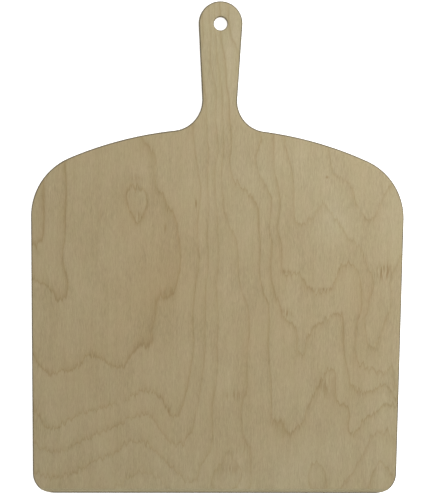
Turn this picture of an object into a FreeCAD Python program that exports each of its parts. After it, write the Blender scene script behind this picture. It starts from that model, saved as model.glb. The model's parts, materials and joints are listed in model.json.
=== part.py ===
import FreeCAD, Part
import math
import os

# A short-handled pizza peel, cut from one sheet of five-ply birch plywood.
#
# It lies flat: +Z is up through its thickness, and +Y runs from the bevelled front edge to the
# handle. The origin is under the middle of its outline, on the face that it rests on.
#
# The sheet is five peeled veneers with a film of glue between each pair. Each veneer and each
# film is a piece of its own, and every cut through the sheet (outline, hang hole, eased edges and
# bevel) goes through all of them at once, as on the real board. All sizes are in millimetres.

Vector = FreeCAD.Vector

# Outline, measured from the middle of the front edge.
BLADE_WIDTH = 380.0
BLADE_LENGTH = 380.0  # front edge to the top of the crown
OVERALL_LENGTH = 506.0
CROWN_RADIUS = BLADE_LENGTH  # the crown is struck from the middle of the front edge
FRONT_CORNER_RADIUS = 22.0
SHOULDER_RADIUS = 65.0
NECK_RADIUS = 31.0  # the hollow between the crown and the handle
GRIP_END_RADIUS = 22.0
GRIP_TAPER = math.radians(3.3)  # each side of the handle leans out this much towards its end
HANG_HOLE_RADIUS = 6.75  # shares its centre with the round end of the handle

# Edges.
EASED_OUTLINE = 1.5  # round-over all along the outline, on both faces
EASED_HOLE = 1.0
BEVEL_RUN = 6.0  # the bevel along the front edge, as seen from above
BEVEL_DEPTH = 4.0

# Lay-up, from the face that it rests on to the face that carries the pizza.
OUTER_VENEER = 1.1
INNER_VENEER = 1.3
GLUE_FILM = 0.1
LAYERS = [
    ("back_veneer", OUTER_VENEER),
    ("glue_film_back", GLUE_FILM),
    ("lower_crossband", INNER_VENEER),
    ("glue_film_lower", GLUE_FILM),
    ("core_veneer", INNER_VENEER),
    ("glue_film_upper", GLUE_FILM),
    ("upper_crossband", INNER_VENEER),
    ("glue_film_face", GLUE_FILM),
    ("face_veneer", OUTER_VENEER),
]

THICKNESS = sum(thickness for _, thickness in LAYERS)
FRONT_Y = -OVERALL_LENGTH / 2
HOLE_Y = OVERALL_LENGTH / 2 - GRIP_END_RADIUS
PROUD = 5.0  # how far a cutting solid stands out past what it cuts
TOLERANCE = 1e-4


def arc(centre, start, end):
    """The short arc from start to end about centre."""
    middle = (start - centre) + (end - centre)
    middle.normalize()
    return Part.Arc(start, centre + middle * (start - centre).Length, end).toShape()


def right_hand_points():
    """Centres and tangent points of the outline's right-hand half, from the crown's centre.

    A tangent point on the crown lies in line with the crown's centre and the other arc's centre.
    """
    corner_x = BLADE_WIDTH / 2 - FRONT_CORNER_RADIUS
    corner = Vector(corner_x, FRONT_CORNER_RADIUS, 0)
    shoulder_x = BLADE_WIDTH / 2 - SHOULDER_RADIUS
    shoulder_y = math.sqrt((CROWN_RADIUS - SHOULDER_RADIUS) ** 2 - shoulder_x**2)
    shoulder = Vector(shoulder_x, shoulder_y, 0)
    grip_end = Vector(0, OVERALL_LENGTH - GRIP_END_RADIUS, 0)
    outward = Vector(math.cos(GRIP_TAPER), -math.sin(GRIP_TAPER), 0)
    towards_blade = Vector(-math.sin(GRIP_TAPER), -math.cos(GRIP_TAPER), 0)
    # The neck's centre is a neck radius outside the handle's side and outside the crown: it is
    # found by going along a line beside the handle until it is that far from the crown's centre.
    start = grip_end + outward * (GRIP_END_RADIUS + NECK_RADIUS)
    along = start.dot(towards_blade)
    spare = start.dot(start) - (CROWN_RADIUS + NECK_RADIUS) ** 2
    neck = start - towards_blade * (along + math.sqrt(along**2 - spare))
    return {
        "corner": corner,
        "corner_front": Vector(corner_x, 0, 0),
        "corner_side": Vector(BLADE_WIDTH / 2, FRONT_CORNER_RADIUS, 0),
        "shoulder": shoulder,
        "shoulder_side": Vector(BLADE_WIDTH / 2, shoulder_y, 0),
        "shoulder_crown": shoulder * (CROWN_RADIUS / (CROWN_RADIUS - SHOULDER_RADIUS)),
        "neck": neck,
        "neck_crown": neck * (CROWN_RADIUS / (CROWN_RADIUS + NECK_RADIUS)),
        "neck_grip": neck - outward * NECK_RADIUS,
        "grip_end_side": grip_end + outward * GRIP_END_RADIUS,
    }


def outline():
    """The peel's outline as one closed wire at height 0, with its front edge at FRONT_Y."""
    right = right_hand_points()
    left = {name: Vector(-point.x, point.y, 0) for name, point in right.items()}
    crown = Vector(0, 0, 0)
    tip = Vector(0, OVERALL_LENGTH, 0)
    edges = [
        Part.LineSegment(left["corner_front"], right["corner_front"]).toShape(),
        Part.Arc(right["grip_end_side"], tip, left["grip_end_side"]).toShape(),
    ]
    for half in (right, left):
        edges += [
            arc(half["corner"], half["corner_front"], half["corner_side"]),
            Part.LineSegment(half["corner_side"], half["shoulder_side"]).toShape(),
            arc(half["shoulder"], half["shoulder_side"], half["shoulder_crown"]),
            arc(crown, half["shoulder_crown"], half["neck_crown"]),
            arc(half["neck"], half["neck_crown"], half["neck_grip"]),
            Part.LineSegment(half["neck_grip"], half["grip_end_side"]).toShape(),
        ]
    wire = Part.Wire(Part.sortEdges(edges)[0])
    wire.translate(Vector(0, FRONT_Y, 0))
    return wire


def rim_edges(board, z, around_hole):
    """The board's edges at height z: those round the hang hole, or those of the outline."""
    hole_centre = Vector(0, HOLE_Y, z)
    found = []
    for edge in board.Edges:
        box = edge.BoundBox
        if max(abs(box.ZMin - z), abs(box.ZMax - z)) > TOLERANCE:
            continue
        from_hole = (edge.valueAt(edge.FirstParameter) - hole_centre).Length
        if (from_hole < HANG_HOLE_RADIUS + TOLERANCE) == around_hole:
            found.append(edge)
    return found


def sawn_board():
    """The full thickness of the board: sawn to its outline, drilled, and with its edges eased."""
    board = Part.Face(outline()).extrude(Vector(0, 0, THICKNESS))
    drill_start = Vector(0, HOLE_Y, -PROUD)
    drill = Part.makeCylinder(HANG_HOLE_RADIUS, THICKNESS + 2 * PROUD, drill_start)
    board = board.cut(drill)
    for radius, around_hole in ((EASED_OUTLINE, False), (EASED_HOLE, True)):
        for z in (0.0, THICKNESS):
            board = board.makeFillet(radius, rim_edges(board, z, around_hole))
    return board


def bevel_waste():
    """The wedge that is planed off the top of the front edge, down to a lip."""
    slope = BEVEL_DEPTH / BEVEL_RUN
    front = FRONT_Y - PROUD
    corners = [
        Vector(-BLADE_WIDTH, front, THICKNESS - BEVEL_DEPTH - PROUD * slope),
        Vector(-BLADE_WIDTH, FRONT_Y + BEVEL_RUN + PROUD, THICKNESS + PROUD * slope),
        Vector(-BLADE_WIDTH, front, THICKNESS + PROUD * slope),
    ]
    section = Part.Face(Part.makePolygon(corners + corners[:1]))
    return section.extrude(Vector(2 * BLADE_WIDTH, 0, 0))


def layer_of(board, z, thickness):
    """The slice of the board from height z up."""
    corner = Vector(-BLADE_WIDTH, -OVERALL_LENGTH, z)
    slab = Part.makeBox(2 * BLADE_WIDTH, 2 * OVERALL_LENGTH, thickness, corner)
    layer = board.common(slab)
    if len(layer.Solids) != 1 or not layer.isValid():
        raise ValueError(f"the layer at height {z:.2f} isn't one valid solid")
    return layer.Solids[0]


def main():
    os.makedirs("parts", exist_ok=True)
    board = sawn_board().cut(bevel_waste())
    z = 0.0
    for name, thickness in LAYERS:
        layer = layer_of(board, z, thickness)
        layer.exportStep(f"parts/{name}.step")
        print(f"{name}: height {z:.2f} to {z + thickness:.2f}, {layer.Volume:.0f} mm3")
        z += thickness


main()
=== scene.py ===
import json
import math

import bmesh
import bpy
import numpy as np
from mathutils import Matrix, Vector, noise
from mathutils.geometry import delaunay_2d_cdt


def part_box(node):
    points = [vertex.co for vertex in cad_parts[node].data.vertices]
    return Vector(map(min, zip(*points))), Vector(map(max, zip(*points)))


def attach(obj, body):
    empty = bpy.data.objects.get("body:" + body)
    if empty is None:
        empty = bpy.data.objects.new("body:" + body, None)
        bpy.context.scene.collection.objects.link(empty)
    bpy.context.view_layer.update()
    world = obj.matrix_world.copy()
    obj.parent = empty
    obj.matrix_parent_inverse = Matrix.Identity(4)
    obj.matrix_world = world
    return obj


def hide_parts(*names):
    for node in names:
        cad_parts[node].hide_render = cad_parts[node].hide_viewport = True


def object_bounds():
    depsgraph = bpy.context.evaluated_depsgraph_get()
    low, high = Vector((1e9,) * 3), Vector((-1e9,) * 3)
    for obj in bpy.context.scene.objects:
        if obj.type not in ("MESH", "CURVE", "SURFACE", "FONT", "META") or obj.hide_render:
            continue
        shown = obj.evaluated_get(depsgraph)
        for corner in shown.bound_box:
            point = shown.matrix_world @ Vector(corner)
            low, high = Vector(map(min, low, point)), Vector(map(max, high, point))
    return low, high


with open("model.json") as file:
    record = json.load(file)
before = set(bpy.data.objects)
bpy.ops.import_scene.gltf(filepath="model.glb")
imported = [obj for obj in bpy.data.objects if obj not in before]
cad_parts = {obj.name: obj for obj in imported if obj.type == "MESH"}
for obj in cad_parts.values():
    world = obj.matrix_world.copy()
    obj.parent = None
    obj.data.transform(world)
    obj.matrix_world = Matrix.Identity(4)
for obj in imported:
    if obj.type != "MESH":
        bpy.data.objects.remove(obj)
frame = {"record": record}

# The looks of a short-handled pizza peel, cut from one sheet of five-ply birch plywood.
#
# Each veneer and each glue film is rebuilt as a mesh of its own, on the heights that the frame
# gives, with finely divided rounded edges. The wood is procedural: growth rings are the level
# lines of a height field that each mesh carries as an attribute, and fibres, pores and stains are
# noise stretched along the grain. Lengths are in metres unless a comment says millimetres.

MM = 0.001

# What the frame gives.
LOW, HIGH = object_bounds()
MOUNTS = {mount["name"]: mount for mount in frame["record"]["mounts"]}
HALF_WIDTH = HIGH.x
FRONT_Y = LOW.y
TIP_Y = HIGH.y
THICKNESS = HIGH.z
HOLE_Y = MOUNTS["hang_hole"]["pos_m"][1]
HOLE_RADIUS = MOUNTS["hang_hole"]["dims"]["r_mm"] * MM
GRIP_END_RADIUS = TIP_Y - HOLE_Y

# The rest of the board's outline and edges, as in the design.
CROWN_RADIUS = 380 * MM
FRONT_CORNER_RADIUS = 22 * MM
SHOULDER_RADIUS = 65 * MM
NECK_RADIUS = 31 * MM
GRIP_TAPER = math.radians(3.3)
EASED_OUTLINE = 1.5 * MM
EASED_HOLE = 1.0 * MM
BEVEL_RUN = 6.0 * MM
BEVEL_DEPTH = 4.0 * MM
LIP_HEIGHT = THICKNESS - BEVEL_DEPTH

# What sanding has done to the edges, and the painted shade where their round-overs turn away from the
# light.
ARRIS = 0.25 * MM  # the rounded top edge of the bevel
SANDING_REACH = 0.22  # the round-over is at most about this share wider or narrower than planned
SANDING_BUMPS = 35  # for each metre of the board
GLUE_RECESS = 0.03 * MM
# Painted shade on the rounded edges, where they turn away from the light: how dark it is at most on
# the outline and in the hole, and how it runs over each round-over.
OUTLINE_PAINTED_SHADE, HOLE_PAINTED_SHADE = 1.0, 0.65
PAINTED_SHADE_TURNS = (0, 0.3, 0.98, 1)  # from where a round-over leaves the edge's wall to where it ends
PAINTED_SHADE_THERE = (0.1, 1, 1, 0)
LIP_DARK, LIP_CLEAR = 0.85 * MM, 1.2 * MM  # above the lip: painted shade up to the first, none past the other

# How finely the meshes are divided.
LINE_STEP = 4.0 * MM
ARC_STEP = 1.6 * MM
LEAST_ARC_STEPS = 6
EASED_STEPS = 8
LEAST_RISE = 0.04 * MM  # two measured heights are never nearer than this
FACE_GRID = 2.5 * MM
BACK_GRID = 5.0 * MM
GRID_CLEARANCE = 0.55  # grid points keep this share of a square clear of the rim
HOLE_STEPS = 64
HOLE_SLACK = 0.002  # a triangle whose middle is nearer than the rim by this share fills the hole
CONSTRAINED_INSIDE = 1  # delaunay_2d_cdt: keep the triangles inside the outermost rim
SAME_POINT = 1e-9
SQUARE_FACES, SQUARE_CORNERS = 0.1, 0.6  # how flat and how square two joined triangles are, radians
SHARP_EDGE = math.radians(28)

# Growth rings of the face, as level lines: the number is the ring's, and the points are where it
# runs, in millimetres on the board with +Y towards the handle. Between the lines the field is
# interpolated, so it also says how flat the knife met the rings.
FACE_RINGS = (
    (-1, ((-177, 72), (-176, 35), (-180, 12), (-189, 6))),
    (0, ((-155, 92), (-155, 40), (-158, 0), (-153, -28), (-163, -49), (-176, -34), (-189, -28))),
    (1, ((-189, -106), (-180, -120), (-170, -126), (-158, -122), (-145, -120), (-134, -108),
         (-127, -106), (-108, -117), (-95, -117), (-84, -99), (-71, -96), (-67, -80), (-63, -62),
         (-59, -46), (-43, -37), (-38, 0), (-43, 33), (-51, 46), (-60, 63), (-65, 76), (-64, 92),
         (-68, 104), (-78, 118))),
    (1, ((-91, 66), (-93, 54), (-88, 42), (-81, 32), (-75, 43), (-73, 56), (-77, 65), (-84, 66))),
    (2, ((-189, -162), (-174, -183), (-150, -173), (-122, -163), (-98, -156), (-78, -144),
         (-57, -152), (-46, -170), (-31, -145), (-24, -100), (-24, -50), (-19, -8), (-21, 30),
         (-18, 65), (-24, 105), (-27, 135))),
    (3, ((-189, -197), (-166, -208), (-140, -196), (-110, -183), (-74, -167), (-58, -184),
         (-42, -201), (-29, -192), (-17, -145), (-12, -95), (-12, -35), (-11, 20), (-11, 75),
         (-12, 120), (-15, 165), (-19, 205))),
    (4, ((-189, -230), (-165, -235), (-125, -218), (-101, -207), (-90, -198), (-76, -198),
         (-57, -213), (-32, -238), (-14, -219), (-4, -160), (0, -95), (-1, -30), (-1, 40),
         (-1, 105), (-3, 165), (-9, 220), (-12, 250))),
    (4, ((1, -253), (8, -216), (14, -207), (20, -217), (27, -235))),
    (4, ((160, -247), (167, -223), (176, -219), (189, -238))),
    (5, ((-104, -246), (-92, -237), (-82, -232), (-68, -232), (-56, -239), (-51, -250))),
    (5, ((35, -252), (37, -225), (36, -203), (30, -191), (27, -178), (27, -155), (32, -138),
         (33, -85), (30, -50), (23, -30), (19, 10), (6, 45), (3, 80), (4, 130), (0, 180),
         (-5, 225))),
    (5, ((103, -252), (98, -228), (106, -219), (114, -227), (123, -252))),
    (5, ((140, -234), (149, -219), (156, -205), (162, -191), (170, -186), (179, -186),
         (189, -198))),
    (6, ((189, -157), (166, -164), (150, -178), (143, -188), (137, -160), (126, -152),
         (123, -124), (113, -122), (98, -152), (90, -174), (78, -187), (68, -173), (58, -172),
         (57, -145), (53, -90), (52, -50), (43, 10), (40, 48), (24, 68), (11, 95), (10, 135),
         (7, 170), (1, 215), (-1, 250))),
    (7, ((188, -150), (182, -143), (175, -134), (166, -139), (158, -143), (149, -141),
         (141, -137), (134, -112), (130, -66), (118, -63), (101, -75), (89, -104), (79, -74),
         (67, -61), (59, -40), (55, 10), (54, 55), (39, 86), (43, 118), (30, 160), (18, 205),
         (8, 250))),
    (8, ((187, -136), (183, -118), (172, -121), (162, -119), (151, -115), (144, -107),
         (144, -90), (149, -58), (146, -22), (136, -9), (119, -30), (100, -39), (80, -17),
         (66, -15), (61, 25), (60, 70), (55, 120))),
    (9, ((189, 2), (177, -28), (171, -72), (166, -90), (160, -97), (155, -86), (153, -64),
         (157, -46), (161, -29), (155, -13), (147, 6), (136, 16), (123, 34), (112, 46), (107, 53),
         (102, 46), (93, 36), (85, 31), (78, 38), (77, 56), (74, 88), (68, 108), (66, 120))),
    (10, ((176, 76), (163, 47), (152, 36), (141, 52), (135, 72), (119, 82), (110, 108))),
)
# How dark the face's rings are, and those of the other veneers, from ring -2 to ring 11.
FIRST_RING = -2
FACE_RING_STRENGTHS = (1.3, 1.6, 1.15, 1.0, 0.8, 0.7, 0.7, 0.65, 1.0, 0.9, 0.85, 0.7, 0.7, 0.7)
HILLY_RING_STRENGTHS = (1.0, 0.7, 1.1, 0.8, 0.9, 0.6, 1.2, 0.8, 1.0, 0.7, 1.1, 0.9, 0.8, 1.0)
# Spots on the flats between the lines: ring height, then the place.
FACE_SPOTS = (
    (0.5, (-120, 0)),
    (0.45, (-120, -60)),
    (1.5, (-82, 50)),
    (0.55, (-110, 80)),
    (0.6, (-180, -70)),
    (0.3, (-140, 50)),
)
# Small brown marks on the face, broken up like a comb: the middle, the reach across and along the
# grain, both in millimetres, and the strength.
FACE_MARKS = (
    ((171, -17), (8, 8), 1.5),
    ((-51, -39), (8, 6), 0.5),
    ((-81, 37), (4, 6), 0.7),
    ((-84, 76), (9, 2.5), 0.4),
    ((18, -147), (10, 5), 0.7),
    ((70, -61), (7, 4), 1.0),
    ((72, -18), (7, 2.5), 0.8),
    ((108, -36), (14, 2.5), 0.5),
    ((17, -226), (16, 5), 0.5),
    ((113, -136), (8, 15), 0.7),
    ((28, -205), (14, 10), 0.3),
)
# Unbroken flecks and specks: the same three things.
FACE_FLECKS = (
    ((-54, 26), (1.3, 4), 0.8),
    ((-23, 51), (0.8, 4), 1.4),
    ((-49, -164), (1.3, 4), 0.8),
    ((-84, 65), (5, 1.2), 0.3),
    ((-120, 38), (2, 7), 0.25),
    ((-183, 0), (3, 4), 0.3),
    ((110, 79), (1.3, 1.3), 1.3),
)
# Where the ring lines fade out: the same three things.
FACE_FADES = (
    ((-66, 84), (9, 16), 0.65),
    ((-58, -92), (8, 8), 0.4),
    ((-76, -245), (40, 14), 0.5),
    ((-100, -158), (8, 9), 0.8),
    ((143, 44), (4, 6), 0.8),
    ((14, -218), (13, 14), 0.6),
    ((184, -128), (5, 12), 0.4),
)
# Broad drifts of the face's colour, to a paler and to a warmer tone: the same three things.
FACE_PALE = (
    ((0, 225), (45, 55), 1.15),
    ((0, 165), (35, 35), 0.55),
    ((187, 35), (24, 70), 0.75),
    ((187, -165), (25, 60), 0.65),
    ((120, -205), (45, 25), 0.35),
    ((60, -247), (190, 38), 0.45),
    ((-187, -225), (20, 50), 0.35),
    ((85, 90), (80, 40), 0.45),
    ((121, 36), (23, 26), 0.9),
    ((25, 65), (40, 45), 0.3),
    ((75, -150), (40, 25), 0.2),
)
FACE_WARM = (
    ((-52, -8), (30, 52), 0.9),
    ((-150, -110), (25, 30), 0.35),
    ((-92, -70), (42, 75), 0.5),
    ((-115, 50), (45, 45), 0.25),
    ((30, -80), (14, 50), 0.35),
    ((150, -45), (16, 30), 0.45),
)


# ---------------------------------------------------------------- the board's shape

def arc(centre, radius, start, end, hollow=False):
    """Points on an arc, and the way out of the board at each, as rows of x, y, nx, ny."""
    steps = max(LEAST_ARC_STEPS, round(abs(end - start) * radius / ARC_STEP))
    angles = np.linspace(start, end, steps + 1)
    ray = np.column_stack([np.cos(angles), np.sin(angles)])
    out = -ray if hollow else ray
    return np.hstack([np.array(centre) + radius * ray, out])


def line(start, end, out):
    """Points inside a straight stretch, without its ends, as rows of x, y, nx, ny."""
    start, end = np.array(start), np.array(end)
    steps = max(2, round(float(np.linalg.norm(end - start)) / LINE_STEP))
    share = np.linspace(0, 1, steps + 1)[1:-1, None]
    return np.hstack([start + (end - start) * share, np.tile(out, (steps - 1, 1))])


def outline():
    """The board's outline from the middle of the front edge, anticlockwise, with normals."""
    crown = np.array([0.0, FRONT_Y])
    corner = np.array([HALF_WIDTH - FRONT_CORNER_RADIUS, FRONT_Y + FRONT_CORNER_RADIUS])
    shoulder_x = HALF_WIDTH - SHOULDER_RADIUS
    shoulder_rise = math.sqrt((CROWN_RADIUS - SHOULDER_RADIUS) ** 2 - shoulder_x**2)
    shoulder = crown + (shoulder_x, shoulder_rise)
    grip_end = np.array([0.0, HOLE_Y])
    outward = np.array([math.cos(GRIP_TAPER), -math.sin(GRIP_TAPER)])
    along = np.array([-math.sin(GRIP_TAPER), -math.cos(GRIP_TAPER)])
    start = grip_end - crown + outward * (GRIP_END_RADIUS + NECK_RADIUS)
    reach = start @ along
    spare = start @ start - (CROWN_RADIUS + NECK_RADIUS) ** 2
    neck = crown + start - along * (reach + math.sqrt(reach**2 - spare))
    to_shoulder = math.atan2(*(shoulder - crown)[::-1])
    to_neck = math.atan2(*(neck - crown)[::-1])
    right = np.vstack([
        [0.0, FRONT_Y, 0.0, -1.0],
        line((0.0, FRONT_Y), (corner[0], FRONT_Y), (0.0, -1.0)),
        arc(corner, FRONT_CORNER_RADIUS, -math.pi / 2, 0.0),
        line((HALF_WIDTH, corner[1]), (HALF_WIDTH, shoulder[1]), (1.0, 0.0)),
        arc(shoulder, SHOULDER_RADIUS, 0.0, to_shoulder),
        arc(crown, CROWN_RADIUS, to_shoulder, to_neck)[1:-1],
        arc(neck, NECK_RADIUS, to_neck - math.pi, -math.pi - GRIP_TAPER, hollow=True),
        line(neck - outward * NECK_RADIUS, grip_end + outward * GRIP_END_RADIUS, outward),
        arc(grip_end, GRIP_END_RADIUS, -GRIP_TAPER, math.pi / 2),
    ])
    left = right[-2:0:-1] * (-1, 1, -1, 1)
    return np.vstack([right, left])


OUTLINE = outline()


def sanding():
    """How much more or less than planned each point of the outline was rounded by hand."""
    bumps = OUTLINE[:, :2] * SANDING_BUMPS
    return 1 + SANDING_REACH * np.array([noise.noise(Vector((x, y, 0.0))) for x, y in bumps])


SANDING = sanding()


def rounded_by(height, radius):
    """How far an edge rounded on both faces has come in at this height."""
    short = radius - min(height, THICKNESS - height)
    return radius - math.sqrt(max(radius**2 - max(short, 0.0) ** 2, 0.0))


def bevel_at(height):
    """The lowest y that the front bevel leaves at this height."""
    y = FRONT_Y + (height - THICKNESS + BEVEL_DEPTH) * BEVEL_RUN / BEVEL_DEPTH
    in_arris = min(max((height - THICKNESS + ARRIS) / ARRIS, 0.0), 1.0)
    return y + ARRIS * (1 - math.sqrt(1 - in_arris**2))


def outer_ring(height, recess):
    """The outline as it is at this height."""
    inset = rounded_by(height, EASED_OUTLINE) * SANDING + recess
    ring = OUTLINE[:, :2] - OUTLINE[:, 2:] * inset[:, None]
    ring[:, 1] = np.maximum(ring[:, 1], bevel_at(height) + recess)
    return ring


def hole_ring(height, recess):
    """The hang hole's edge as it is at this height."""
    angles = np.linspace(0, 2 * math.pi, HOLE_STEPS, endpoint=False)
    radius = HOLE_RADIUS + rounded_by(height, EASED_HOLE) + recess
    return np.column_stack([radius * np.cos(angles), HOLE_Y + radius * np.sin(angles)])


def heights(low, high):
    """The heights between two planes at which the board's edge is measured."""
    turns = np.linspace(0, math.pi / 2, EASED_STEPS + 1)
    eased = [EASED_OUTLINE * (1 - math.cos(turn)) for turn in turns]
    eased += [EASED_HOLE * (1 - math.cos(turn)) for turn in turns]
    eased += [ARRIS * (1 - math.sin(turn)) for turn in turns]
    lip = [LIP_HEIGHT + LIP_DARK, LIP_HEIGHT + LIP_CLEAR]
    wanted = sorted(eased + [THICKNESS - z for z in eased] + lip)
    chosen = [low]
    for z in wanted:
        if z - chosen[-1] > LEAST_RISE and high - z > LEAST_RISE:
            chosen.append(z)
    return chosen + [high]


def grid_points(rim, grid):
    """A square grid over the board, clear of its rim. Some of it may lie outside the outline."""
    xs = (np.arange(math.floor(2 * HALF_WIDTH / grid)) + 0.5) * grid - HALF_WIDTH
    ys = np.arange(FRONT_Y + grid, TIP_Y, grid)
    kept = []
    for y in ys:
        gaps = np.hypot(xs[:, None] - rim[:, 0], y - rim[:, 1]).min(axis=1)
        kept += [(x, y) for x in xs[gaps > grid * GRID_CLEARANCE]]
    return np.array(kept)


def cap(outer, hole, grid):
    """The board's section at one height: points to add inside its rim, and its triangles."""
    rim = np.vstack([outer, hole])
    extra = grid_points(rim, grid) if grid else np.empty((0, 2))
    ends = [(i, (i + 1) % len(outer)) for i in range(len(outer))]
    ends += [(len(outer) + i, len(outer) + (i + 1) % len(hole)) for i in range(len(hole))]
    points = [Vector(point) for point in np.vstack([rim, extra])]
    section = delaunay_2d_cdt(points, ends, [], CONSTRAINED_INSIDE, SAME_POINT)
    coords, _, faces, origins, _, _ = section
    hole_middle = Vector((0.0, HOLE_Y))
    hole_reach = (Vector(hole[0]) - hole_middle).length * (1 - HOLE_SLACK)
    triangles = []
    for face in faces:
        middle = sum((coords[i] for i in face), Vector((0.0, 0.0))) / len(face)
        if (middle - hole_middle).length > hole_reach:
            triangles.append([origins[i][0] for i in face])
    used = sorted({i for face in triangles for i in face if i >= len(rim)})
    place = {old: len(rim) + new for new, old in enumerate(used)}
    triangles = [[place.get(i, i) for i in face] for face in triangles]
    return extra[[i - len(rim) for i in used]], triangles


def edge_painted_shade(height):
    """How much painted shade the edge gets at this height, on the outline's and the hole's
    round-overs and at the foot of the bevel.
    """
    edges = ((EASED_OUTLINE, len(OUTLINE), OUTLINE_PAINTED_SHADE), (EASED_HOLE, HOLE_STEPS, HOLE_PAINTED_SHADE))
    painted_edge_shade = []
    for radius, count, most in edges:
        turned = max(radius - min(height, THICKNESS - height), 0.0) / radius
        painted_edge_shade.append(np.full(count, most * np.interp(turned, PAINTED_SHADE_TURNS, PAINTED_SHADE_THERE)))
    # Painted shade along the foot of the bevel, just above the lip.
    if height >= LIP_HEIGHT:
        lip_painted_shade = np.interp(height - LIP_HEIGHT, (LIP_DARK, LIP_CLEAR), (1, 0))
        painted_edge_shade[0][OUTLINE[:, 1] < bevel_at(height)] = lip_painted_shade
    return np.concatenate(painted_edge_shade)


def bevel_painted_light(height):
    """1 where the outline runs over the bevel, which is painted paler: painted light on a face turned
    away from the lamp.
    """
    on_bevel = (OUTLINE[:, 1] < bevel_at(height)) & (LIP_HEIGHT <= height < THICKNESS)
    return np.concatenate([on_bevel.astype(float), np.zeros(HOLE_STEPS)])


def layer_geometry(low, high, recess, grid_below, grid_above):
    """One layer, its edge ring by ring and then its two caps: the vertices, how much painted edge
    shade and painted bevel light they get, and the faces."""
    levels = heights(low, high)
    outer = [outer_ring(z, recess) for z in levels]
    hole = [hole_ring(z, recess) for z in levels]
    n_outer, n_hole = len(outer[0]), len(hole[0])
    n_ring = n_outer + n_hole
    flat = [np.vstack(pair) for pair in zip(outer, hole)]
    vertices = [np.column_stack([ring, np.full(n_ring, z)]) for ring, z in zip(flat, levels)]
    painted_edge_tones = [np.column_stack([edge_painted_shade(z), bevel_painted_light(z)]) for z in levels]
    faces = []
    for level in range(len(levels) - 1):
        base = level * n_ring
        for first, count, turn in ((0, n_outer, 1), (n_outer, n_hole, -1)):
            for i in range(count):
                a, b = base + first + i, base + first + (i + 1) % count
                faces.append([a, b, b + n_ring, a + n_ring][::turn])
    total = len(levels) * n_ring
    for level, grid, turn in ((0, grid_below, -1), (len(levels) - 1, grid_above, 1)):
        extra, triangles = cap(outer[level], hole[level], grid)
        vertices.append(np.column_stack([extra, np.full(len(extra), levels[level])]))
        painted_edge_tones.append(np.zeros((len(extra), 2)))
        rim = level * n_ring
        shift = [rim + i for i in range(n_ring)] + [total + i for i in range(len(extra))]
        faces += [[shift[i] for i in face][::turn] for face in triangles]
        total += len(extra)
    return np.vstack(vertices), np.vstack(painted_edge_tones), faces


def squared(mesh):
    """Joins the caps' triangles into squares where they make good ones, and turns all faces out."""
    work = bmesh.new()
    work.from_mesh(mesh)
    flat = [face for face in work.faces if len(face.verts) == 3]
    bmesh.ops.join_triangles(
        work, faces=flat, angle_face_threshold=SQUARE_FACES, angle_shape_threshold=SQUARE_CORNERS
    )
    bmesh.ops.recalc_face_normals(work, faces=work.faces)
    work.to_mesh(mesh)
    work.free()


# ---------------------------------------------------------------- growth rings

RINGS_PER_DEPTH = 0.35 / MM  # rings that the knife meets for each metre of depth
SLOPE_REACH = 0.5 * MM  # slopes are measured this far to both sides
DRAWN_OUT = 1.6  # the figure is this much longer along the grain than it is wide
SPLINE_UNITS = 10.0  # the spline is solved in decimetres, where its numbers are near 1
NEVER_ZERO = 1e-9
HILLS = 22
HILL_WIDTHS, HILL_LENGTHS = (0.02, 0.06), (0.06, 0.16)


def spline_height(places, values, where):
    """A thin-plate spline on a plane through values at places, read at where. Distances along the
    grain count for less, because the figure is drawn out along it."""
    squeeze = np.array([SPLINE_UNITS, SPLINE_UNITS / DRAWN_OUT])
    knots, where = places * squeeze, where * squeeze

    def bend(a, b):
        gap = np.hypot(*np.moveaxis(a[:, None] - b[None], -1, 0))
        return gap**2 * np.log(np.maximum(gap, NEVER_ZERO))

    n = len(knots)
    plane = np.column_stack([np.ones(n), knots])
    system = np.zeros((n + 3, n + 3))
    system[:n, :n] = bend(knots, knots)
    system[:n, n:] = plane
    system[n:, :n] = plane.T
    weights = np.linalg.solve(system, np.concatenate([values, np.zeros(3)]))
    return bend(where, knots) @ weights[:n] + weights[n] + where @ weights[n + 1:]


def face_height(where):
    """Ring height over the face, from its drawn ring lines."""
    knots = [(ring, point) for ring, points in FACE_RINGS for point in points]
    knots += list(FACE_SPOTS)
    values = np.array([value for value, _ in knots], float)
    places = np.array([point for _, point in knots], float) * MM
    return spline_height(places, values, where)


def hilly_height(seed, tilt, reach):
    """Ring height of a veneer that no drawing covers: a tilt, in rings for each metre, and long
    hills and hollows of at most reach rings. Each hill is x, y, width, length and rise."""
    draw = np.random.default_rng(seed)
    least = (-HALF_WIDTH, FRONT_Y, HILL_WIDTHS[0], HILL_LENGTHS[0], -reach)
    most = (HALF_WIDTH, TIP_Y, HILL_WIDTHS[1], HILL_LENGTHS[1], reach)
    hills = draw.uniform(least, most, (HILLS, len(least)))

    def height(where):
        total = where @ np.array(tilt)
        for x, y, wide, long, rise in hills:
            ray = (where - (x, y)) / (wide, long)
            total = total + rise * np.exp(-(ray**2).sum(axis=1))
        return total

    return height


def store(mesh, name, values):
    """Puts one number on each vertex, for the materials to read."""
    attribute = mesh.attributes.new(name, "FLOAT", "POINT")
    attribute.data.foreach_set("value", values.astype(np.float32))


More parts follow.
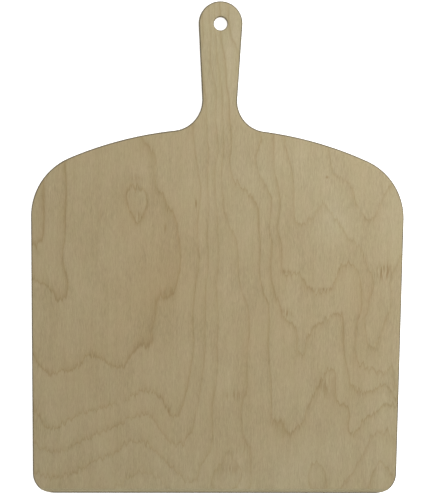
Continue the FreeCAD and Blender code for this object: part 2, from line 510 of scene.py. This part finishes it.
def store_rings(mesh, height, strengths, grain_axis):
    """Gives each vertex its ring height, its slope, the slope's part along the grain and how dark
    its rings are. Slopes are in rings for each metre of board."""
    points = np.empty(len(mesh.vertices) * 3)
    mesh.vertices.foreach_get("co", points)
    points = points.reshape(-1, 3)
    where = points[:, :2]
    slopes = []
    for step in ((SLOPE_REACH, 0.0), (0.0, SLOPE_REACH)):
        slopes.append((height(where + step) - height(where - step)) / (2 * SLOPE_REACH))
    deep = height(where) + (THICKNESS - points[:, 2]) * RINGS_PER_DEPTH
    rings = np.arange(len(strengths)) + FIRST_RING
    values = {
        "ring_height": deep,
        "ring_slope": np.hypot(*slopes),
        "ring_run": slopes[grain_axis],
        "ring_strength": np.interp(deep, rings, strengths),
    }
    for name, value in values.items():
        store(mesh, name, value)


# ---------------------------------------------------------------- materials

# The noises of the wood: the size of a grain across and along the fibres, in millimetres, the
# noise's detail, and the shift of its seed.
WOOD_NOISES = {
    "fine": (0.85, 6.0, 1.0, 0.0),
    "patch": (30, 45, 2.0, 0.7),
    "hair": (0.22, 5.0, 1.0, 0.4),
    "streak": (1.3, 28, 2.0, 1.0),
    "middle": (5, 80, 2.0, 2.0),
    "broad": (26, 60, 2.0, 3.0),
    "hue": (11, 20, 1.0, 4.0),
    "pore": (0.2, 2.2, 1.0, 5.0),
    "fringe": (1.5, 14, 1.0, 6.0),
    "uneven": (18, 30, 1.0, 7.0),
    "comb": (0.8, 16, 1.0, 8.0),
    "teeth": (3.4, 24, 1.0, 8.3),
    "sway": (4.0, 26, 1.0, 8.6),
}
SEED_STRIDE = (7.3, 3.1, 5.7)  # the next seed reads its noise this many grains away
# What each thing on the wood multiplies its colour by, in the order in which they are laid on.
WOOD_TINTS = {
    "broad": (0.955, 0.94, 0.90),
    "middle": (0.95, 0.945, 0.925),
    "streak": (0.955, 0.95, 0.935),
    "fibre": (0.83, 0.825, 0.81),
    "hair": (0.92, 0.91, 0.885),
    "ring_band": (0.965, 0.945, 0.91),
    "ring_line": (0.86, 0.82, 0.74),
    "pore": (0.88, 0.85, 0.80),
    "mark": (0.76, 0.68, 0.56),
    "pale": (1.07, 1.13, 1.21),
    "warm": (0.95, 0.90, 0.84),
    "end_grain": (0.80, 0.76, 0.68),
    # Painted light: the bevel made paler against the shade it lies in.
    "bevel_painted_light": (1.07, 1.13, 1.13),
    # Painted shade: the rounded edges made darker.
    "painted_edge_shade": (0.38, 0.38, 0.38),
}
GREENER = (0.985, 1.01, 0.985)
MOST_OF = (0.3, 0.7)  # the range of a noise's values that a ramp spreads out
# How other noises and measures are spread out: from low and high and, where it isn't 0 and 1, to
# what they become.
RAMPS = {
    "hue": (0.35, 0.65),
    "patch": (0.35, 0.65, 0.55, 1.1),
    "fine": (0.25, 0.75),
    "pore": (0.60, 0.72),
    "uneven_rings": (*MOST_OF, 0.75, 1.3),
    "rings_across_grain": (0.2, 1.0, 1.0, 1.3),
    "broken_marks": (0.42, 0.58, 0.05, 1.0),
    "end_grain": (0.5, 0.95),
    # How unevenly the painted edge shade lies.
    "painted_shade_breakup": (*MOST_OF, 0.8, 1.1),
}
# The rings' late wood: how far noises move it along the fibres and to the side, and how it fades.
COMB_REACH, TEETH_REACH, SWAY_REACH = 2.0 * MM, 3.4 * MM, 0.5 * MM
LINE_RISE, LINE_FALL, BAND_RISE = 1.5 * MM, 0.7 * MM, 6.0 * MM
LEAST_SLOPE = 13.0  # rings for each metre: on flatter wood than this, lines grow no wider
LEVEL_SLOPE = 1.0  # rings for each metre: keeps a division from level wood's slope of 0
LEAST_ROUGHNESS, ROUGHNESS_SPREAD = 0.58, 0.14
PORE_DEPTH, LINE_RIDGE = -0.6, 0.3  # as shares of how far the fibres stand out
WOOD_RELIEF, RESIN_RELIEF = 0.02 * MM, 0.01 * MM
RESIN_DARK, RESIN_STARVED = (0.07, 0.043, 0.024), (0.17, 0.12, 0.065)
RESIN_SPECK_TINT = (0.75, 0.72, 0.70)
RESIN_PATCHES, RESIN_SPECKS = (160, 160, 900), (1500, 1500, 1500)  # for each metre


class Graph:
    """A material being built. Each method adds a node and returns its output."""

    def __init__(self, name):
        self.material = bpy.data.materials.new(name)
        self.material.use_nodes = True
        self.tree = self.material.node_tree
        self.tree.nodes.clear()

    def add(self, kind, inputs, output=0, **settings):
        node = self.tree.nodes.new("ShaderNode" + kind)
        for name, value in settings.items():
            setattr(node, name, value)
        for key, value in inputs.items():
            if isinstance(value, bpy.types.NodeSocket):
                self.tree.links.new(value, node.inputs[key])
            else:
                node.inputs[key].default_value = value
        return node.outputs[output]

    def math(self, operation, a, b=0.0, c=0.0, clamp=False):
        return self.add("Math", {0: a, 1: b, 2: c}, operation=operation, use_clamp=clamp)

    def dot(self, a, b):
        return self.add("VectorMath", {0: a, 1: b}, "Value", operation="DOT_PRODUCT")

    def attribute(self, name):
        return self.add("Attribute", {}, "Fac", attribute_name=name)

    def place(self):
        return self.add("TexCoord", {}, "Object")

    def scaled(self, vector, scale, shift=(0.0, 0.0, 0.0)):
        return self.add("Mapping", {"Vector": vector, "Scale": scale, "Location": shift})

    def noise(self, vector, detail=2.0):
        return self.add("TexNoise", {"Vector": vector, "Scale": 1.0, "Detail": detail}, "Fac")

    def ramp(self, value, low, high, to_low=0.0, to_high=1.0):
        """value from low to high, turned into to_low to to_high, and held there outside."""
        limits = {0: value, 1: low, 2: high, 3: to_low, 4: to_high}
        return self.add("MapRange", limits, clamp=True)

    def tinted(self, colour, amount, by):
        """colour times by, where amount is 1, and colour alone, where it is 0."""
        inputs = {0: amount, 6: colour, 7: (*by, 1.0)}
        return self.add("Mix", inputs, 2, data_type="RGBA", blend_type="MULTIPLY")

    def towards(self, colour, amount, other):
        return self.add("Mix", {0: amount, 6: colour, 7: (*other, 1.0)}, 2, data_type="RGBA")

    def finish(self, colour, roughness, height, relief, specular=0.35, glow=0.0):
        """Closes the material with its bump, a Principled shader and an output."""
        bump = self.add("Bump", {"Height": height, "Strength": 1.0, "Distance": relief})
        shader = self.add("BsdfPrincipled", {
            "Base Color": colour, "Roughness": roughness, "Normal": bump,
            "Specular IOR Level": specular, "Emission Strength": glow,
            "Emission Color": (1.0, 1.0, 1.0, 1.0),
        })
        output = self.tree.nodes.new("ShaderNodeOutputMaterial")
        self.tree.links.new(shader, output.inputs["Surface"])
        return self.material


def wood_noises(graph, along, seed):
    """All the noises of WOOD_NOISES by name, drawn out along x or y."""
    made = {}
    for name, (across, length, detail, shift) in WOOD_NOISES.items():
        fine, long = 1 / (across * MM), 1 / (length * MM)
        scale = (fine, long, fine) if along == "y" else (long, fine, fine)
        away = [(seed + shift) * stride for stride in SEED_STRIDE]
        made[name] = graph.noise(graph.scaled(graph.place(), scale, away), detail)
    return made


def centred(graph, noise_value, reach):
    """A noise moved to both sides of zero and widened to about this reach."""
    return graph.math("MULTIPLY_ADD", noise_value, 4 * reach, -2 * reach)


def fading(graph, distance, reach):
    """1 at no distance, and e times less with every reach."""
    return graph.math("EXPONENT", graph.math("DIVIDE", distance, -reach))


def ring_lines(graph, noises):
    """How dark the late wood is: a line, sharper on one side, and the soft band behind it."""
    comb = centred(graph, noises["comb"], COMB_REACH)
    shift = graph.math("ADD", comb, centred(graph, noises["teeth"], TEETH_REACH))
    sway = centred(graph, noises["sway"], SWAY_REACH)
    slope, run = graph.attribute("ring_slope"), graph.attribute("ring_run")
    height = graph.math("MULTIPLY_ADD", run, shift, graph.attribute("ring_height"))
    height = graph.math("MULTIPLY_ADD", slope, sway, height)
    share = graph.math("FRACT", height)
    slope = graph.math("MAXIMUM", slope, LEAST_SLOPE)
    before = graph.math("DIVIDE", graph.math("SUBTRACT", 1.0, share), slope)
    after = graph.math("DIVIDE", share, slope)
    rise = fading(graph, before, LINE_RISE)
    line = graph.math("MAXIMUM", rise, fading(graph, after, LINE_FALL))
    return line, fading(graph, before, BAND_RISE)


def ring_strength(graph, uneven, marked):
    """How strong the rings are here: unevenly so, and more where they cross the grain."""
    strength = graph.attribute("ring_strength")
    strength = graph.math("MULTIPLY", strength, graph.ramp(uneven, *RAMPS["uneven_rings"]))
    slope = graph.math("MAXIMUM", graph.attribute("ring_slope"), LEVEL_SLOPE)
    crossing = graph.math("DIVIDE", graph.attribute("ring_run"), slope)
    crossing = graph.ramp(graph.math("ABSOLUTE", crossing), *RAMPS["rings_across_grain"])
    strength = graph.math("MULTIPLY", strength, crossing)
    if marked:
        kept = graph.math("SUBTRACT", 1.0, spots(graph, FACE_FADES), clamp=True)
        strength = graph.math("MULTIPLY", strength, kept)
    return strength


def spots(graph, places):
    """Soft spots added up: each has a middle and a reach in millimetres, and a strength."""
    place = graph.place()
    total = 0.0
    for (x, y), (across, along), strength in places:
        scale = (1 / (across * MM), 1 / (along * MM), 0.0)
        ray = graph.scaled(place, scale, (-x / across, -y / along, 0.0))
        spot = graph.math("EXPONENT", graph.math("MULTIPLY", graph.dot(ray, ray), -1.0))
        total = graph.math("MULTIPLY_ADD", spot, strength, total)
    return total


def face_stains(graph, fringe):
    """How far the face's marks and its broad drifts of colour reach here."""
    broken = graph.ramp(fringe, *RAMPS["broken_marks"])
    flecks = spots(graph, FACE_FLECKS)
    marks = graph.math("MULTIPLY_ADD", spots(graph, FACE_MARKS), broken, flecks, clamp=True)
    return {"mark": marks, "pale": spots(graph, FACE_PALE), "warm": spots(graph, FACE_WARM)}


def edge_tones(graph, fringe, along):
    """How much of the end grain, of the bevel's painted light and of the edges' painted shade is
    here.
    """
    normal = graph.add("TexCoord", {}, "Normal")
    end_axis = (0.0, 1.0, 0.0) if along == "y" else (1.0, 0.0, 0.0)
    ends = graph.math("ABSOLUTE", graph.dot(normal, end_axis))
    painted_shade_breakup = graph.ramp(fringe, *RAMPS["painted_shade_breakup"])
    return {
        "end_grain": graph.ramp(ends, *RAMPS["end_grain"]),
        "bevel_painted_light": graph.attribute("bevel_painted_light"),
        # Painted shade on the rounded edges, broken up a little by noise.
        "painted_edge_shade": graph.math("MULTIPLY", graph.attribute("edge_painted_shade"), painted_shade_breakup, clamp=True),
    }


def birch(name, base, along="y", seed=0, marked=False):
    """Peeled birch: fibres, rings, pores, stains, and the tones of its edges."""
    graph = Graph(name)
    noises = wood_noises(graph, along, seed)
    line, band = ring_lines(graph, noises)
    strength = ring_strength(graph, noises["uneven"], marked)
    patch = graph.ramp(noises["patch"], *RAMPS["patch"])
    pores = graph.ramp(noises["pore"], *RAMPS["pore"])
    even = ("broad", "middle", "streak", "hair")
    amounts = {thing: graph.ramp(noises[thing], *MOST_OF) for thing in even}
    amounts["fibre"] = graph.math("MULTIPLY", graph.ramp(noises["fine"], *RAMPS["fine"]), patch)
    amounts["ring_band"] = graph.math("MULTIPLY", band, strength)
    amounts["ring_line"] = graph.math("MULTIPLY", line, strength)
    amounts["pore"] = pores
    if marked:
        amounts |= face_stains(graph, noises["fringe"])
    amounts |= edge_tones(graph, noises["fringe"], along)

    greener = [share * change for share, change in zip(base, GREENER)]
    colour = graph.towards((*base, 1.0), graph.ramp(noises["hue"], *RAMPS["hue"]), greener)
    for thing, tint in WOOD_TINTS.items():
        if thing in amounts:
            colour = graph.tinted(colour, amounts[thing], tint)

    roughness = graph.math("MULTIPLY_ADD", noises["fine"], ROUGHNESS_SPREAD, LEAST_ROUGHNESS)
    height = graph.math("MULTIPLY_ADD", pores, PORE_DEPTH, noises["fine"])
    height = graph.math("MULTIPLY_ADD", line, LINE_RIDGE, height)
    return graph.finish(colour, roughness, height, WOOD_RELIEF)


def resin(name):
    """The cured glue between two veneers: dark, a little patchy, and in places nearly starved."""
    graph = Graph(name)
    patchy = graph.noise(graph.scaled(graph.place(), RESIN_PATCHES), detail=3.0)
    speck = graph.noise(graph.scaled(graph.place(), RESIN_SPECKS), detail=1.0)
    colour = graph.towards((*RESIN_DARK, 1.0), graph.ramp(patchy, 0.4, 0.75), RESIN_STARVED)
    colour = graph.tinted(colour, graph.ramp(speck, 0.5, 0.7), RESIN_SPECK_TINT)
    roughness = graph.ramp(patchy, *MOST_OF, 0.5, 0.8)
    return graph.finish(colour, roughness, speck, RESIN_RELIEF)


# ---------------------------------------------------------------- the layers

MATERIALS = {
    "birch_face": birch("face_birch", (0.361, 0.291, 0.1725), seed=1, marked=True),
    "birch_back": birch("back_birch", (0.365, 0.300, 0.187), seed=3),
    "birch_core": birch("core_birch", (0.345, 0.270, 0.160), seed=5),
    "birch_crossband": birch("crossband_birch", (0.375, 0.305, 0.187), along="x", seed=7),
    "glue_line": resin("glue_resin"),
}
# Each veneer's ring height, the strengths of its rings, and the axis of its grain.
ALONG_X, ALONG_Y = 0, 1
RINGS = {
    "face_veneer": (face_height, FACE_RING_STRENGTHS, ALONG_Y),
    "back_veneer": (hilly_height(11, (22.0, 4.0), 1.7), HILLY_RING_STRENGTHS, ALONG_Y),
    "core_veneer": (hilly_height(12, (40.0, 9.0), 1.5), HILLY_RING_STRENGTHS, ALONG_Y),
    "upper_crossband": (hilly_height(13, (7.0, 45.0), 1.5), HILLY_RING_STRENGTHS, ALONG_X),
    "lower_crossband": (hilly_height(14, (5.0, 38.0), 1.5), HILLY_RING_STRENGTHS, ALONG_X),
}


def layer(entry):
    """Builds the visual piece for one node of the frame and lets it stand for that node."""
    node, slot = entry["node"], entry["material_slot"]
    low, high = (corner.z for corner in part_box(node))
    recess = GLUE_RECESS if slot == "glue_line" else 0.0
    above = FACE_GRID if node == "face_veneer" else None
    below = BACK_GRID if node == "back_veneer" else None
    vertices, painted_edge_tones, faces = layer_geometry(low, high, recess, below, above)
    mesh = bpy.data.meshes.new(node + "_finished")
    mesh.from_pydata(vertices.tolist(), [], faces)
    store(mesh, "edge_painted_shade", painted_edge_tones[:, 0])
    store(mesh, "bevel_painted_light", painted_edge_tones[:, 1])
    squared(mesh)
    if node in RINGS:
        store_rings(mesh, *RINGS[node])
    mesh.shade_smooth()
    mesh.set_sharp_from_angle(angle=SHARP_EDGE)
    mesh.materials.append(MATERIALS[slot])
    piece = bpy.data.objects.new(node + "_finished", mesh)
    bpy.context.scene.collection.objects.link(piece)
    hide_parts(node)
    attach(piece, "root")


for entry in frame["record"]["subparts"]:
    layer(entry)


# ---------------------------------------------------------------- floor, light and camera

FLOOR_SIZE = 8.0
FLOOR_DROP = 0.2 * MM  # below the board, so that the two never share a plane
FLOOR_GLOW = 0.6  # the studio's table is lit through from below, a little
BACKDROP_RADIUS = 20.0
SKY_STRENGTH = 0.75
CAMERA_PLACE = (-0.0265, 0.0887, 0.9281)
CAMERA_TURNS = (-5.11, -1.60, 0.50)  # degrees about x, y and z, turned in the order z, y, x
CAMERA_LENS, SENSOR_WIDTH = 65.96, 36.0  # millimetres


def studio_white():
    """The floor's nearly even white, which glows a little."""
    graph = Graph("pale_floor")
    cloud = graph.noise(graph.scaled(graph.place(), (2.0, 2.0, 2.0)))
    dull, bright = (0.93, 0.93, 0.93, 1.0), (0.95, 0.95, 0.95)
    colour = graph.towards(dull, graph.ramp(cloud, *MOST_OF), bright)
    return graph.finish(colour, 0.9, cloud, 0.0, specular=0.1, glow=FLOOR_GLOW)


def floor_and_backdrop():
    """The table that the board lies on, and a dome far round it that only the camera sees."""
    white = studio_white()
    bpy.ops.mesh.primitive_plane_add(size=FLOOR_SIZE, location=(0.0, 0.0, -FLOOR_DROP))
    plane = bpy.context.object
    plane.name = "pale_floor"
    bpy.ops.mesh.primitive_uv_sphere_add(segments=48, ring_count=24, radius=BACKDROP_RADIUS)
    dome = bpy.context.object
    dome.name = "pale_backdrop"
    for ray in ("diffuse", "glossy", "transmission", "volume_scatter", "shadow"):
        setattr(dome, "visible_" + ray, False)
    for stage in (plane, dome):
        stage.data.materials.append(white)


def soft_light(name, place, size, power):
    """A square lamp that faces the middle of the board."""
    lamp = bpy.data.lights.new(name, "AREA")
    lamp.size = size
    lamp.energy = power
    rig = bpy.data.objects.new(name, lamp)
    rig.location = place
    rig.rotation_euler = (-Vector(place)).to_track_quat("-Z", "Y").to_euler()
    rig.visible_camera = False
    bpy.context.scene.collection.objects.link(rig)


def surroundings():
    """An even white sky."""
    world = bpy.data.worlds.new("studio")
    world.use_nodes = True
    background = world.node_tree.nodes["Background"]
    background.inputs["Color"].default_value = (1.0, 1.0, 1.0, 1.0)
    background.inputs["Strength"].default_value = SKY_STRENGTH
    bpy.context.scene.world = world


def camera():
    """The photograph's view: from nearly straight above, leaning a little towards the handle."""
    data = bpy.data.cameras.new("camera")
    data.lens = CAMERA_LENS
    data.sensor_width = SENSOR_WIDTH
    rig = bpy.data.objects.new("camera", data)
    rig.location = CAMERA_PLACE
    rig.rotation_mode = "ZYX"
    rig.rotation_euler = [math.radians(turn) for turn in CAMERA_TURNS]
    bpy.context.scene.collection.objects.link(rig)
    bpy.context.scene.camera = rig


floor_and_backdrop()
soft_light("key", (0.46, 0.32, 0.68), size=0.9, power=7.2)
surroundings()
camera()
bpy.context.scene.view_settings.view_transform = "Standard"
